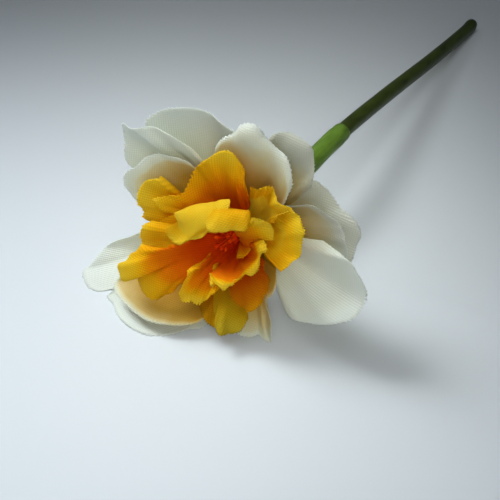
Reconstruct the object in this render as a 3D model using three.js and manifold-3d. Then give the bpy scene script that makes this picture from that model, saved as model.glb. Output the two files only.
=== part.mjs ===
// A fabric daffodil of the double kind, lying on a flat surface: a green stem, a paler
// green calyx sleeve, two rings of white petals, three rings of yellow frill and a tuft of stamens.
// Millimetres, +Z up. The stem runs towards +Y and the flower's face looks towards -Y.
import * as THREE from "three";
import { mergeVertices } from "three/addons/utils/BufferGeometryUtils.js";
import Module from "manifold-3d";

const wasm = await Module();
wasm.setup();

// Stem and sleeve
const STEM_DIAMETER = 4.8;
const STEM_SIDES = 16;
const SPIGOT_DIAMETER = 3.2;
const SPIGOT_LENGTH = 12;
const BORE_DIAMETER = 3.8;
const SLEEVE_DIAMETER = 5.9;
const CALYX_DIAMETER = 11;
const CALYX_LENGTH = 7;
const JOINT_GAP = 0.3;

// Where the petals join the stem, and the way the flower faces
const FLOWER_BASE = new THREE.Vector3(0, -159, 18);
const FACE_TILT_UP = 22;
const FACE_TURN = 3;

// Fabric rings and the pin that holds them
const SHEET = 0.6;
const RING_HEIGHT = 1.2;
const RING_GAP = 0.3;
const RING_RADII = [3.8, 3.8, 3.8, 3.2, 2.6]; // from the back to the innermost
const ROOT_OVERLAP = 0.5;
const PIN_RADIUS = 0.8;
const PIN_GAP = 0.3;

// Stamens
const TUFT_RADIUS = 1.7;
const TUFT_HEIGHT = 2.6;
const FILAMENTS = 6;
const FILAMENT_RADIUS = 0.5;
const FILAMENT_LENGTH = 9;

const rad = THREE.MathUtils.degToRad;

// The flower's own frame: u to the right of someone facing it, v up, w out of its face.
const faceW = new THREE.Vector3(
  Math.sin(rad(FACE_TURN)) * Math.cos(rad(FACE_TILT_UP)),
  -Math.cos(rad(FACE_TURN)) * Math.cos(rad(FACE_TILT_UP)),
  Math.sin(rad(FACE_TILT_UP)),
);
const faceU = new THREE.Vector3(0, 0, 1).cross(faceW).normalize();
const faceV = faceW.clone().cross(faceU);
const flowerFrame = new THREE.Matrix4()
  .makeBasis(faceU, faceV, faceW)
  .setPosition(FLOWER_BASE);
const worldToFlower = flowerFrame.clone().invert();

// One petal or frill lobe. Lengths are in millimetres and angles in degrees. A place is given by
// its turn round the face, its angle from the flower's axis and its distance from the base.
//   turn     direction of the root, from the right of the face, anticlockwise
//   start    angle from the axis at which the cloth leaves the root
//   end      the same at the rim, or the whole direction there where the lobe is folded over
//   rim      places along the free edge, from one side to the other
//   spread   half the turn that the root takes up
//   hold     how far the cloth keeps its first and its last direction, as a share of its length
//   ruffle   [height, count, phase] of the waves along the rim
//   folds    the same for the creases from root to rim
//   belly    height of a bulge in the middle
const PLAIN = { spread: 24, hold: [0.4, 0.4], ruffle: [0.3, 4, 0], belly: 0, folds: [0.25, 3, 0.4] };
const BACK_PETALS = [
  { turn: 210, start: 84, end: 62, rim: [[196, 84, 22], [201, 78, 32], [205, 76, 41],
    [210, 74, 46.5], [213, 73, 49.7], [217, 69.5, 49.3], [220, 67.5, 47.3], [222, 68, 43.7],
    [225, 74, 34], [226, 80, 24]] },
  { turn: 246, start: 84, end: 35, rim: [[221, 72, 26], [221, 67, 36], [223, 65, 42.8],
    [228, 62.5, 42.5], [233, 59, 42.7], [240, 56, 41.7], [248, 54, 39.7], [257, 55, 36],
    [264, 58, 32], [270, 60, 28.3], [272, 67, 22]] },
  { turn: 28, start: 84, end: 125, hold: [0.45, 0.15], ruffle: [0.5, 3, 1], rim: [[357, 86, 20],
    [2, 85, 27], [6, 84, 30.5], [14, 84, 32], [19, 84, 33], [26, 84, 31.5], [32, 83, 29],
    [40, 81, 28.5], [46, 79, 28], [52, 77, 26.5], [55, 76, 20]] },
  { turn: 64, start: 84, end: 110, hold: [0.45, 0.15], rim: [[46, 74, 22], [50, 70, 29],
    [53, 70, 32.5], [57, 70, 35], [61, 70, 37], [67, 70, 36.5], [72, 70, 35.5], [77, 69, 33],
    [80, 68, 28], [82, 68, 22]] },
  { turn: 118, start: 84, end: 55, rim: [[90, 70, 24], [94, 68, 29], [99, 66, 31.5],
    [104, 66, 33.5], [110, 66, 35.5], [117, 66, 37], [124, 66, 38], [132, 66, 38.5], [139, 66, 38],
    [145, 68, 32], [147, 72, 24]] },
  { turn: 146, start: 84, end: 60, rim: [[122, 66, 18], [122, 61, 25], [123, 60, 29], [126, 60, 32],
    [131, 60, 35], [135, 61, 37.5], [139, 61, 39], [142, 62, 40.3], [144, 64, 42], [148, 66, 41],
    [152, 66, 39], [161, 66, 35.5], [166, 70, 28], [168, 74, 20]] },
];
const FRONT_PETALS = [
  { turn: 154, start: 84, end: 60, rim: [[126, 64, 18], [128, 59, 24], [130, 58, 26.5],
    [137, 58, 29], [142, 58, 31.5], [148, 58, 33], [154, 58, 33.4], [158, 58, 34.5], [163, 58, 35],
    [168, 58, 34], [172, 60, 32], [176, 61, 30], [180, 64, 24], [181, 68, 18]] },
  { turn: 244, start: 84, end: 35, rim: [[215, 70, 24], [216, 64, 34], [219, 60, 39], [224, 56, 39],
    [232, 53, 38], [242, 51, 36.5], [253, 50, 34], [264, 50, 30.5], [271, 52, 27], [273, 60, 21]] },
  { turn: 24, start: 84, end: 70, rim: [[2, 80, 20], [6, 77, 27], [9, 76, 31], [15, 76, 31.5],
    [22, 76, 31], [28, 75, 29.5], [34, 75, 27], [40, 73, 25], [46, 72, 19]] },
  { turn: 350, start: 84, end: 80, rim: [[318, 79, 16], [318, 77, 19], [320, 74, 23.8],
    [323.5, 73, 27.6], [334, 72, 32.3], [342.5, 72, 36.2], [349, 74, 39], [355, 76, 39],
    [1, 75, 39], [8, 72, 36.5], [13, 70, 34], [18, 72, 26]] },
  { turn: 308, start: 76, end: 64, rim: [[290, 63, 22], [291, 61, 26], [293, 61, 28.6],
    [298, 64, 29.3], [302, 67, 28.7], [303, 69.5, 29.8], [303.5, 71.5, 31.6], [307, 71, 31.3],
    [311, 67.5, 28.4], [314, 65, 25], [314, 63, 22.7], [316, 62, 21], [326, 61, 20], [337, 61, 18],
    [343, 62, 15]] },
  { turn: 78, start: 84, end: 125, hold: [0.45, 0.2], ruffle: [0.5, 3, 0], rim: [[44, 70, 18],
    [48, 65, 22.3], [54, 64, 26], [59, 64, 29], [65, 64, 32.5], [73, 64, 33], [78, 64, 34],
    [84, 64, 35.5], [90, 64, 34], [96, 63, 31.4], [104, 62, 29], [110, 64, 24], [112, 68, 18]] },
];
const OUTER_FRILL = [
  { turn: 172, start: 58, end: 70, ruffle: [0.6, 3, 0], rim: [[162, 56, 18], [160, 54, 23],
    [156, 53, 25.5], [152, 53, 27.6], [154, 53, 29.6], [160, 53, 30.3], [166, 53, 30.5],
    [174, 53, 29.5], [179, 54, 27.7], [186, 55, 27.2], [192, 58, 20]] },
  { turn: 262, start: 58, end: 60, rim: [[242, 54, 20], [249, 51, 23], [257, 50, 24.5],
    [265, 50, 25], [273, 50, 27], [279, 50, 28.3], [284, 51, 28], [290, 54, 24], [292, 58, 18]] },
  { turn: 290, start: 58, end: 70, ruffle: [0.3, 1.5, 0], folds: [0.1, 2, 0], rim: [[272, 58, 18],
    [275, 55, 21], [277, 54, 23], [281, 54, 25.6], [284, 54, 28], [288, 54, 30.3], [292, 54, 29.5],
    [298, 54, 28.7], [303, 54, 26.5], [305, 54, 24], [308, 58, 18]] },
  { turn: 14, start: 58, end: 75, ruffle: [0.5, 3, 0], folds: [0.9, 2, 1.2], rim: [[350, 54, 14],
    [356, 52, 18.5], [2, 52, 23.5], [9, 53, 25], [14, 54, 26.2], [24, 55, 27.4], [28, 57, 28.7],
    [30, 58, 28.3], [37, 60, 26.5], [43, 62, 24], [45, 62, 18]] },
  { turn: 56, start: 58, end: 70, ruffle: [0.6, 3, 2], folds: [0.12, 3, 0.4], rim: [[34, 58, 18],
    [40, 58, 21], [43, 58, 25], [48, 58, 25.2], [55, 58, 23.7], [60, 57, 23], [66, 55, 22.8],
    [73, 56, 19], [76, 60, 16]] },
  { turn: 112, start: 58, end: 70, spread: 32, rim: [[76, 58, 15], [81, 55, 19.4], [84, 55, 23.7],
    [88, 54, 28], [92, 54, 30], [98, 54, 29.5], [109, 54, 26.8], [124, 54, 24], [136, 53, 21.8],
    [147, 51, 21.4], [155, 50, 24], [159, 50, 26.5], [164, 50, 27.2], [168, 52, 22]] },
];
const MIDDLE_FRILL = [
  { turn: 182, start: 38, end: 75, ruffle: [0.5, 3, 0], rim: [[162, 46, 14], [165, 47, 18.2],
    [170, 47, 20], [175, 47, 22], [181, 47, 24], [183, 47, 26.2], [187, 47, 27.7], [192, 48, 28.3],
    [199, 49, 28.6], [204, 50, 29], [208, 54, 22]] },
  { turn: 220, start: 38, end: 110, hold: [0.5, 0.38], spread: 32, ruffle: [0.5, 3.5, 1],
    folds: [0.25, 2, 0.4], rim: [[196, 42, 18], [201, 43, 21], [203, 45.5, 26.8], [203, 46, 29.5],
    [205, 49, 32.1], [209, 50.5, 35.4], [214.5, 51.3, 36], [219, 51.5, 35.6], [219.5, 51, 32.4],
    [223.5, 50, 32.3], [229, 50, 32.1], [235, 50, 30.4], [239, 49.5, 27.7], [243, 48.5, 25.1],
    [245, 48, 21.9], [244.5, 47, 19]] },
  { turn: 262, start: 38, end: 75, ruffle: [0.6, 3, 0], rim: [[236, 48, 15], [243, 46, 20],
    [247, 45, 24.5], [250, 45, 26.7], [255, 45, 27], [258, 45, 24.4], [262, 45, 25], [267, 45, 25],
    [271, 45, 24], [276, 45, 22.8], [281, 47, 19], [286, 50, 15]] },
  { turn: 322, start: 38, end: 75, rim: [[290, 50, 16], [299, 49, 21.8], [308, 49, 24],
    [315, 49, 25], [324, 49, 24.2], [328, 49, 22.5], [336, 49, 21.4], [345, 49, 20.2],
    [352, 49, 18.7], [356, 48, 15]] },
  { turn: 300, start: 38, end: 60, rim: [[262, 50, 16], [270, 47, 19], [275, 45, 21],
    [278, 44, 19.6], [287, 43.5, 19], [298, 43, 18.6], [309, 43, 17.8], [322, 43, 16.5],
    [335, 44, 14]] },
];
const INNER_FRILL = [
  { turn: 36, start: 10, end: 110, spread: 40, hold: [0.8, 0.3], rim: [[350, 30, 13], [2, 36, 15],
    [14, 41, 16.5], [23, 45, 18], [26, 48, 19.5], [33, 49, 20.5], [42, 46, 21], [50, 41, 20.5],
    [56, 36, 19.5], [66, 32, 18], [80, 29, 16], [92, 26, 13]] },
  { turn: 325, start: 40, end: 150, hold: [0.6, 0.22], spread: 40, ruffle: [0.4, 3, 1],
    rim: [[268, 29, 19.2], [280, 29, 20.1], [290, 29.5, 20.3], [310, 30, 21.3], [322.5, 31, 21.2],
    [334, 33, 19.5], [344, 34.5, 20.3], [358, 36.5, 21.1], [9, 38.5, 20.6], [18.5, 39.6, 20.1],
    [22.5, 38, 16.9]] },
  { turn: 134, start: 50, end: [215, 75], hold: [1.55, 0.7], spread: 36, belly: 1.6,
    ruffle: [0.2, 2, 0.5], folds: [0, 2, 0], rim: [[100, 22, 20], [118, 13, 20], [150, 12, 19],
    [183, 18, 19], [195, 26, 19.6], [198.8, 33, 21], [195, 39, 22.1], [188, 43.5, 23],
    [181, 44, 23]] },
  { turn: 80, start: 50, end: [250, 90], hold: [1.2, 0.45], spread: 8,
    ruffle: [0.5, 1.5, 0.8], folds: [0, 2, 0], rim: [[52, 32, 18.5], [46, 29, 19.8], [48, 26, 20.5],
    [60, 18, 21], [90, 13, 21], [112, 15, 20.5], [122, 19, 20]] },
  { turn: 350, start: 10, end: 25, spread: 60, rim: [[280, 38, 10], [300, 37, 12], [322, 35, 14],
    [340, 28, 15.5], [350, 21, 17.5], [357, 26, 17.5], [8, 31, 16], [25, 35, 15], [45, 36, 13],
    [65, 36, 10]] },
];

function polar(turn, angle, reach) {
  return new THREE.Vector3(
    reach * Math.sin(rad(angle)) * Math.cos(rad(turn)),
    reach * Math.sin(rad(angle)) * Math.sin(rad(turn)),
    reach * Math.cos(rad(angle)),
  );
}
function wave([high, count, phase], s) {
  return high * Math.sin(2 * Math.PI * count * s + phase);
}

// The middle surface of a petal as rows of points from root to rim.
function bent(shape, root, wide, long) {
  const rim = new THREE.CatmullRomCurve3(
    shape.rim.map(([turn, angle, reach]) => polar(turn, angle, reach)),
    false,
    "catmullrom",
    0.5,
  );
  const threads = [];
  for (let i = 0; i <= wide; i += 1) {
    const s = i / wide;
    const around = shape.turn + shape.spread * (2 * s - 1);
    const hub = polar(around, 90, root.radius);
    hub.z += root.height;
    const edge = rim.getPointAt(s);
    const span = edge.distanceTo(hub);
    const first = hub.clone().addScaledVector(polar(around, shape.start, 1), shape.hold[0] * span);
    const out = THREE.MathUtils.radToDeg(Math.atan2(edge.y, edge.x));
    const leaving = Array.isArray(shape.end) ? polar(...shape.end, 1) : polar(out, shape.end, 1);
    const last = edge.clone().addScaledVector(leaving, -shape.hold[1] * span);
    threads.push(new THREE.CubicBezierCurve3(hub, first, last, edge));
  }
  const at = (i, j) => {
    const thread = threads[THREE.MathUtils.clamp(i, 0, wide)];
    return thread.getPoint(THREE.MathUtils.clamp(j, 0, long) / long);
  };
  const points = [];
  for (let j = 0; j <= long; j += 1)
    for (let i = 0; i <= wide; i += 1) {
      const s = i / wide;
      const t = j / long;
      const normal = at(i + 1, j).sub(at(i - 1, j)).cross(at(i, j + 1).sub(at(i, j - 1))).normalize();
      let lift = wave(shape.ruffle, s) * t ** 3;
      lift += wave(shape.folds, s) * 2 * t * (1.3 - t);
      lift += shape.belly * 16 * t * (1 - t) * s * (1 - s);
      points.push(at(i, j).addScaledVector(normal, lift).applyMatrix4(flowerFrame));
    }
  return points;
}

// Rises to nothing past zero, within a soft bend of the given width.
function softened(excess, width) {
  if (excess < -width) return 0;
  if (excess > width) return excess;
  return (excess + width) ** 2 / (4 * width);
}

// A petal that reaches the surface is pressed flat on it.
const PRESS = 1;
function pressed(point, height) {
  point.z = height + softened(point.z - height, PRESS);
  return point;
}

// The petals lie on one another. For every direction round the axis and distance from the
// base, a pile keeps the widest angle from the axis that is still free for the next petal.
const TURNS = 180;
const REACH = 64;
const RISE_ANGLE = 0.8;
class Pile {
  constructor() {
    this.free = new Float64Array(TURNS * REACH).fill(Math.PI);
  }
  lay(points) {
    for (const { turn, reach, angle } of points) {
      const i = (Math.round((turn / (2 * Math.PI)) * TURNS) + TURNS) % TURNS;
      const j = Math.min(REACH - 1, Math.round(reach));
      this.free[i * REACH + j] = Math.min(this.free[i * REACH + j], angle);
    }
    for (let sweep = 0; sweep < 4; sweep += 1) this.spread(sweep % 2 === 0);
  }
  spread(forward) {
    const cells = TURNS * REACH;
    for (let n = 0; n < cells; n += 1) {
      const cell = forward ? n : cells - 1 - n;
      const i = Math.floor(cell / REACH);
      const j = cell % REACH;
      const reach = Math.max(j, 1);
      for (const [di, dj] of [[1, 0], [-1, 0], [0, 1], [0, -1], [1, 1], [1, -1], [-1, 1], [-1, -1]]) {
        if (j + dj < 0 || j + dj >= REACH) continue;
        const from = ((i + di + TURNS) % TURNS) * REACH + j + dj;
        const level = this.free[from];
        if (level >= Math.PI) continue;
        const side = (di * 2 * Math.PI * reach * Math.max(Math.sin(level), 0.2)) / TURNS;
        const rise = (RISE_ANGLE * Math.hypot(side, dj)) / reach;
        if (level + rise < this.free[cell]) this.free[cell] = level + rise;
      }
    }
  }
  limit(turn, reach) {
    const s = ((turn / (2 * Math.PI)) * TURNS + TURNS) % TURNS;
    const r = Math.min(REACH - 1.001, reach);
    const i = Math.floor(s);
    const j = Math.floor(r);
    const at = (p, q) => this.free[(p % TURNS) * REACH + q];
    const near = at(i, j) + (at(i, j + 1) - at(i, j)) * (r - j);
    const far = at(i + 1, j) + (at(i + 1, j + 1) - at(i + 1, j)) * (r - j);
    return near + (far - near) * (s - i);
  }
}
function measured(point) {
  const p = point.clone().applyMatrix4(worldToFlower);
  return { turn: Math.atan2(p.y, p.x), reach: p.length(), angle: Math.atan2(Math.hypot(p.x, p.y), p.z) };
}
// The greatest value within so many cells along one side of a grid, or the mean of them.
function windowed(values, size, step, cells, combine) {
  return values.map((value, k) => {
    const place = Math.floor(k / step) % size;
    const near = [];
    for (let d = -cells; d <= cells; d += 1)
      near.push(values[k + (THREE.MathUtils.clamp(place + d, 0, size - 1) - place) * step]);
    return combine(near);
  });
}
function evened(push, wide, long) {
  const largest = (near) => Math.max(...near);
  const mean = (near) => near.reduce((sum, value) => sum + value, 0) / near.length;
  let made = push;
  for (const combine of [largest, mean]) {
    made = windowed(made, long + 1, wide + 1, Math.max(1, Math.round(long / SMOOTH)), combine);
    made = windowed(made, wide + 1, 1, Math.max(1, Math.round(wide / SMOOTH)), combine);
  }
  return made;
}

// Turns a petal towards the axis until it clears the pile and the petals beside it.
const ROOT_LAYER = 0.9;
const LAYER = 1.3;
const NEIGHBOUR = 1.1;
const SMOOTH = 14;
const ACROSS = 10;
const ALONG = 6;
const FINE = 4;
const below = new Pile();
function laid(shape, root, beside) {
  const wide = ACROSS * FINE;
  const long = ALONG * FINE;
  const places = bent(shape, root, wide, long).map((point) => measured(pressed(point, SHEET / 2)));
  const push = places.map(({ turn, reach, angle }) => {
    // The sheets are close at the root and part from there; a ring's own petals share their root.
    const together = THREE.MathUtils.clamp((16 - reach) / 8, 0, 1);
    let free = below.limit(turn, reach) - (LAYER + (ROOT_LAYER - LAYER) * together) / reach;
    if (beside) {
      const own = beside.limit(turn, reach) - (NEIGHBOUR - together * 1.2 * reach) / reach;
      free = Math.min(free, own);
    }
    return softened(angle - free, 0.6 / reach);
  });
  evened(push, wide, long).forEach((turned, k) => {
    places[k].angle -= turned;
  });
  return places;
}
function placeOf({ turn, reach, angle }) {
  const deg = THREE.MathUtils.radToDeg;
  return polar(deg(turn), deg(angle), reach).applyMatrix4(flowerFrame);
}
// Every few points of a fine grid.
function coarse(places) {
  const wide = ACROSS * FINE + 1;
  return places.filter((place, k) => (k % wide) % FINE === 0 && Math.floor(k / wide) % FINE === 0);
}

// One petal as a closed sheet of even thickness.
function blade(middle) {
  const wide = ACROSS + 1;
  const faces = [];
  for (let j = 0; j < ALONG; j += 1)
    for (let i = 0; i < ACROSS; i += 1) {
      const p = j * wide + i;
      faces.push([p, p + 1, p + wide + 1], [p, p + wide + 1, p + wide]);
    }
  const normals = middle.map(() => new THREE.Vector3());
  for (const [p, q, r] of faces) {
    const n = middle[q].clone().sub(middle[p]).cross(middle[r].clone().sub(middle[p]));
    for (const k of [p, q, r]) normals[k].add(n);
  }
  normals.forEach((n) => n.normalize().multiplyScalar(SHEET / 2));
  const count = middle.length;
  const position = [];
  for (const sign of [1, -1])
    middle.forEach((m, k) => {
      const p = m.clone().addScaledVector(normals[k], sign);
      position.push(p.x, p.y, Math.max(p.z, 0));
    });
  const index = [];
  for (const [p, q, r] of faces) index.push(p, q, r, p + count, r + count, q + count);
  const rim = [];
  for (let i = 0; i < ACROSS; i += 1) rim.push(i);
  for (let j = 0; j < ALONG; j += 1) rim.push(j * wide + ACROSS);
  for (let i = ACROSS; i > 0; i -= 1) rim.push(ALONG * wide + i);
  for (let j = ALONG; j > 0; j -= 1) rim.push(j * wide);
  rim.forEach((p, k) => {
    const q = rim[(k + 1) % rim.length];
    index.push(q, p, p + count, q, p + count, q + count);
  });
  const geometry = new THREE.BufferGeometry();
  geometry.setAttribute("position", new THREE.Float32BufferAttribute(position, 3));
  geometry.setIndex(index);
  return geometry;
}

function solid(geometry) {
  const bare = geometry.clone();
  bare.deleteAttribute("normal");
  bare.deleteAttribute("uv");
  const merged = mergeVertices(bare, 1e-4);
  return new wasm.Manifold(
    new wasm.Mesh({
      numProp: 3,
      vertProperties: merged.attributes.position.array,
      triVerts: new Uint32Array(merged.index.array),
    }),
  );
}

// Fills the small pockets left where sheets cross at their shared root.
function filled(body) {
  return body.decompose().reduce((most, part) => (part.volume() > most.volume() ? part : most));
}

function geometryOf(body) {
  const made = body.getMesh();
  const geometry = new THREE.BufferGeometry();
  geometry.setAttribute("position", new THREE.BufferAttribute(made.vertProperties, 3));
  geometry.setIndex(new THREE.BufferAttribute(made.triVerts, 1));
  return geometry.toNonIndexed();
}

function lathe(profile, sides, placement) {
  const points = profile.map(([r, h]) => new THREE.Vector2(r, h));
  const geometry = new THREE.LatheGeometry(points, sides);
  geometry.rotateX(Math.PI / 2);
  return solid(geometry.applyMatrix4(placement));
}

// A round bar whose centre line and radius follow lists of points and radii.
function bar(centres, radii, sides) {
  const position = [];
  const index = [];
  centres.forEach((c, k) => {
    const before = centres[Math.max(0, k - 1)];
    const after = centres[Math.min(centres.length - 1, k + 1)];
    const ahead = after.clone().sub(before).normalize();
    const right = new THREE.Vector3(1, 0, 0).addScaledVector(ahead, -ahead.x).normalize();
    const over = ahead.clone().cross(right);
    for (let i = 0; i < sides; i += 1) {
      const turn = (2 * Math.PI * i) / sides;
      const p = c.clone();
      p.addScaledVector(right, radii[k] * Math.cos(turn));
      p.addScaledVector(over, radii[k] * Math.sin(turn));
      position.push(p.x, p.y, p.z);
    }
  });
  const last = (centres.length - 1) * sides;
  for (let k = 0; k < centres.length - 1; k += 1)
    for (let i = 0; i < sides; i += 1) {
      const p = k * sides + i;
      const q = k * sides + ((i + 1) % sides);
      index.push(p, q, q + sides, p, q + sides, p + sides);
    }
  for (let i = 1; i < sides - 1; i += 1) index.push(0, i + 1, i, last, last + i, last + i + 1);
  const geometry = new THREE.BufferGeometry();
  geometry.setAttribute("position", new THREE.Float32BufferAttribute(position, 3));
  geometry.setIndex(index);
  return solid(geometry);
}

const flower = new THREE.Group();
function addNode(name, body, colour, roughness) {
  const geometry = geometryOf(body);
  geometry.computeVertexNormals();
  const material = new THREE.MeshStandardMaterial({ color: colour, roughness, metalness: 0 });
  const mesh = new THREE.Mesh(geometry, material);
  mesh.name = name;
  flower.add(mesh);
}

// The centre line of stem and sleeve: flat at the foot, rising gently, then turning into the flower.
const centreLine = new THREE.CatmullRomCurve3(
  [
    new THREE.Vector3(0, 0, 2.25),
    new THREE.Vector3(0, -8, 2.25),
    new THREE.Vector3(0, -40, 6.6),
    new THREE.Vector3(0, -75, 12.4),
    new THREE.Vector3(0, -108, 17),
    new THREE.Vector3(0, -130, 17.6),
    FLOWER_BASE.clone().addScaledVector(faceW, -CALYX_LENGTH - 2.5),
    FLOWER_BASE.clone().addScaledVector(faceW, -CALYX_LENGTH),
  ],
  false,
  "centripetal",
);
const LINE = centreLine.getSpacedPoints(320);
function stretch(fromY, toY, every) {
  const kept = LINE.filter((p) => p.y <= fromY && p.y >= toY);
  return kept.filter((p, k) => k % every === 0 || k === kept.length - 1);
}
const even = (points, radius) => points.map(() => radius);

const SLEEVE_START = -108;
const stemPart = stretch(0, SLEEVE_START + 1, 16);
const spigotPart = stretch(SLEEVE_START + 2, SLEEVE_START - SPIGOT_LENGTH, 8);
const borePart = stretch(SLEEVE_START + 1.5, SLEEVE_START - SPIGOT_LENGTH - JOINT_GAP, 8);
const flatCut = solid(new THREE.BoxGeometry(40, 40, 10).translate(0, 0, -5));
const stem = bar(stemPart, even(stemPart, STEM_DIAMETER / 2), STEM_SIDES)
  .add(bar(spigotPart, even(spigotPart, SPIGOT_DIAMETER / 2), STEM_SIDES))
  .subtract(flatCut);
addNode("stem", stem, 0x35461c, 0.5);

// The sleeve slips over the stem's end, swells into the calyx and carries the pin.
const sleevePart = stretch(SLEEVE_START, -200, 9);
const calyx = lathe(
  [
    [0, -CALYX_LENGTH - 1.5],
    [SLEEVE_DIAMETER / 2 - 0.1, -CALYX_LENGTH - 1.5],
    [SLEEVE_DIAMETER / 2 + 0.5, -CALYX_LENGTH + 1],
    [CALYX_DIAMETER / 2 - 0.6, -CALYX_LENGTH + 3.2],
    [CALYX_DIAMETER / 2, -CALYX_LENGTH + 5],
    [CALYX_DIAMETER / 2 - 0.9, -JOINT_GAP],
    [PIN_RADIUS, -JOINT_GAP],
    [PIN_RADIUS, RING_RADII.length * (RING_HEIGHT + RING_GAP) + 1.1],
    [0, RING_RADII.length * (RING_HEIGHT + RING_GAP) + 1.1],
  ],
  24,
  flowerFrame,
);
const sleeve = bar(sleevePart, even(sleevePart, SLEEVE_DIAMETER / 2), STEM_SIDES)
  .add(calyx)
  .subtract(bar(borePart, even(borePart, BORE_DIAMETER / 2), STEM_SIDES));
addNode("calyx_sleeve", sleeve, 0x6f8a3a, 0.6);

// One die-cut ring of fabric: its petals joined to a small disc with a hole for the pin.
function ring(name, petals, place, side, colour) {
  const low = place * (RING_HEIGHT + RING_GAP);
  const hole = PIN_RADIUS + PIN_GAP;
  let body = lathe(
    [
      [hole, low],
      [RING_RADII[place], low],
      [RING_RADII[place], low + RING_HEIGHT],
      [hole, low + RING_HEIGHT],
      [hole, low],
    ],
    24,
    flowerFrame,
  );
  const root = { radius: RING_RADII[place] - ROOT_OVERLAP, height: low + RING_HEIGHT / 2 };
  const beside = side ? new Pile() : null;
  const placed = [];
  petals.forEach((petal) => {
    const shape = { ...PLAIN, ...petal };
    const places = laid(shape, root, beside);
    body = body.add(solid(blade(coarse(places).map(placeOf))));
    if (beside) beside.lay(places);
    placed.push(...places);
  });
  below.lay(placed);
  addNode(name, filled(body), colour, 0.8);
}

ring("back_petals", BACK_PETALS, 0, true, 0xe9ebe4);
ring("front_petals", FRONT_PETALS, 1, true, 0xf2f2ec);
ring("outer_frill", OUTER_FRILL, 2, true, 0xe8b800);
ring("middle_frill", MIDDLE_FRILL, 3, true, 0xf0a800);
ring("inner_frill", INNER_FRILL, 4, false, 0xf5a000);

// The stamens: filaments on a small cap that is glued over the pin's end.
const tuftBase = RING_RADII.length * (RING_HEIGHT + RING_GAP);
let stamens = lathe(
  [
    [0, tuftBase + TUFT_HEIGHT - 1.2],
    [PIN_RADIUS + PIN_GAP, tuftBase + TUFT_HEIGHT - 1.2],
    [PIN_RADIUS + PIN_GAP, tuftBase],
    [TUFT_RADIUS, tuftBase],
    [TUFT_RADIUS, tuftBase + TUFT_HEIGHT],
    [0, tuftBase + TUFT_HEIGHT],
  ],
  16,
  flowerFrame,
);
for (let k = 0; k < FILAMENTS; k += 1) {
  const turn = (2 * Math.PI * k) / FILAMENTS + 0.3;
  const centres = [];
  const radii = [];
  for (let i = 0; i <= 4; i += 1) {
    const t = i / 4;
    const away = 1.1 + 1.7 * t * t;
    const high = tuftBase + TUFT_HEIGHT - 0.5 + t * (FILAMENT_LENGTH + (k % 2));
    centres.push(
      new THREE.Vector3(away * Math.cos(turn), away * Math.sin(turn), high).applyMatrix4(flowerFrame),
    );
    radii.push(FILAMENT_RADIUS * (i === 3 ? 1.5 : 1));
  }
  stamens = stamens.add(bar(centres, radii, 6));
}
addNode("stamens", stamens, 0xd84a10, 0.8);

// The origin is under the middle of the whole flower, on the surface it lies on.
const box = new THREE.Box3().setFromObject(flower);
flower.position.set(-(box.min.x + box.max.x) / 2, -(box.min.y + box.max.y) / 2, -box.min.z);

export default flower;
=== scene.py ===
# %% [markdown]
# # A fabric daffodil
# The real flower is made of stiffened, woven polyester: two rings of white petals, three rings of
# yellow frill and a tuft of stamens, on a plastic-covered stem with a paler sleeve. Such a flower
# could be sculpted as one lump, but its layers and the gaps between them are what one sees, so each
# petal is a sheet of its own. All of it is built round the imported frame, in its own coordinates.

# %% Load the frame
import math
import bmesh
import bpy
import numpy as np
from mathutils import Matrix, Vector


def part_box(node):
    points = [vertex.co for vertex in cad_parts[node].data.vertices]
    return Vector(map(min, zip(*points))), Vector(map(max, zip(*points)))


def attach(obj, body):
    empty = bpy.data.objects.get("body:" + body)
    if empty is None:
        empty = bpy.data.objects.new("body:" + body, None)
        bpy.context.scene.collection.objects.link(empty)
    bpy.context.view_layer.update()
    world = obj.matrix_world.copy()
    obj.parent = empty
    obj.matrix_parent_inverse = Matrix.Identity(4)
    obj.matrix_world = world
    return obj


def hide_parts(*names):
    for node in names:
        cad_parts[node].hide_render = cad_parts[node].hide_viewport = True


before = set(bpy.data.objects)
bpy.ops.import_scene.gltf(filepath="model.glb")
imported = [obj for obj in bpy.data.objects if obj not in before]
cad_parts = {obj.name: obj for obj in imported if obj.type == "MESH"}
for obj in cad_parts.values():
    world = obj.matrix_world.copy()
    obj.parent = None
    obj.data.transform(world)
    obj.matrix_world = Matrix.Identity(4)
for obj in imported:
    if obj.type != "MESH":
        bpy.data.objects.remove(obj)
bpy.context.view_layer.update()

MM = 0.001
print("the frame's nodes:", sorted(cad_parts))


# %% [markdown]
# ## The camera
# The photo looks down on the flower at 45 degrees, from 33.5 degrees to the right of its face. A
# camera can be placed by hand or by angles. Angles are used here, because they can be read from the
# photo one by one: the foot of the stem and the middle of the flower fix where the camera aims, and
# the way the stem gets thinner fixes its distance.

# %% Camera
stem_low, stem_high = (np.array(corner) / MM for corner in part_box("stem"))
FOOT = np.array([(stem_low[0] + stem_high[0]) / 2, stem_high[1], 0.0])
AZIMUTH, ELEVATION = math.radians(33.5), math.radians(45)
AIM_FROM_FOOT = np.array([3.605, -163.819, 15.0])
DISTANCE = 0.210
LENS_MM, SENSOR_MM = 57.97, 36

toward_camera = Vector((
    math.sin(AZIMUTH) * math.cos(ELEVATION),
    -math.cos(AZIMUTH) * math.cos(ELEVATION),
    math.sin(ELEVATION),
))
lens = bpy.data.cameras.new("camera")
lens.sensor_width = SENSOR_MM
lens.lens = LENS_MM
lens.clip_start = 0.01
camera = bpy.data.objects.new("camera", lens)
bpy.context.scene.collection.objects.link(camera)
camera.location = Vector(FOOT + AIM_FROM_FOOT) * MM + DISTANCE * toward_camera
camera.rotation_euler = toward_camera.to_track_quat("Z", "Y").to_euler()
bpy.context.scene.camera = camera
print("the stem's cut end is at", FOOT.round(1), "mm, the camera at",
      [round(c / MM) for c in camera.location], "mm")


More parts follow.
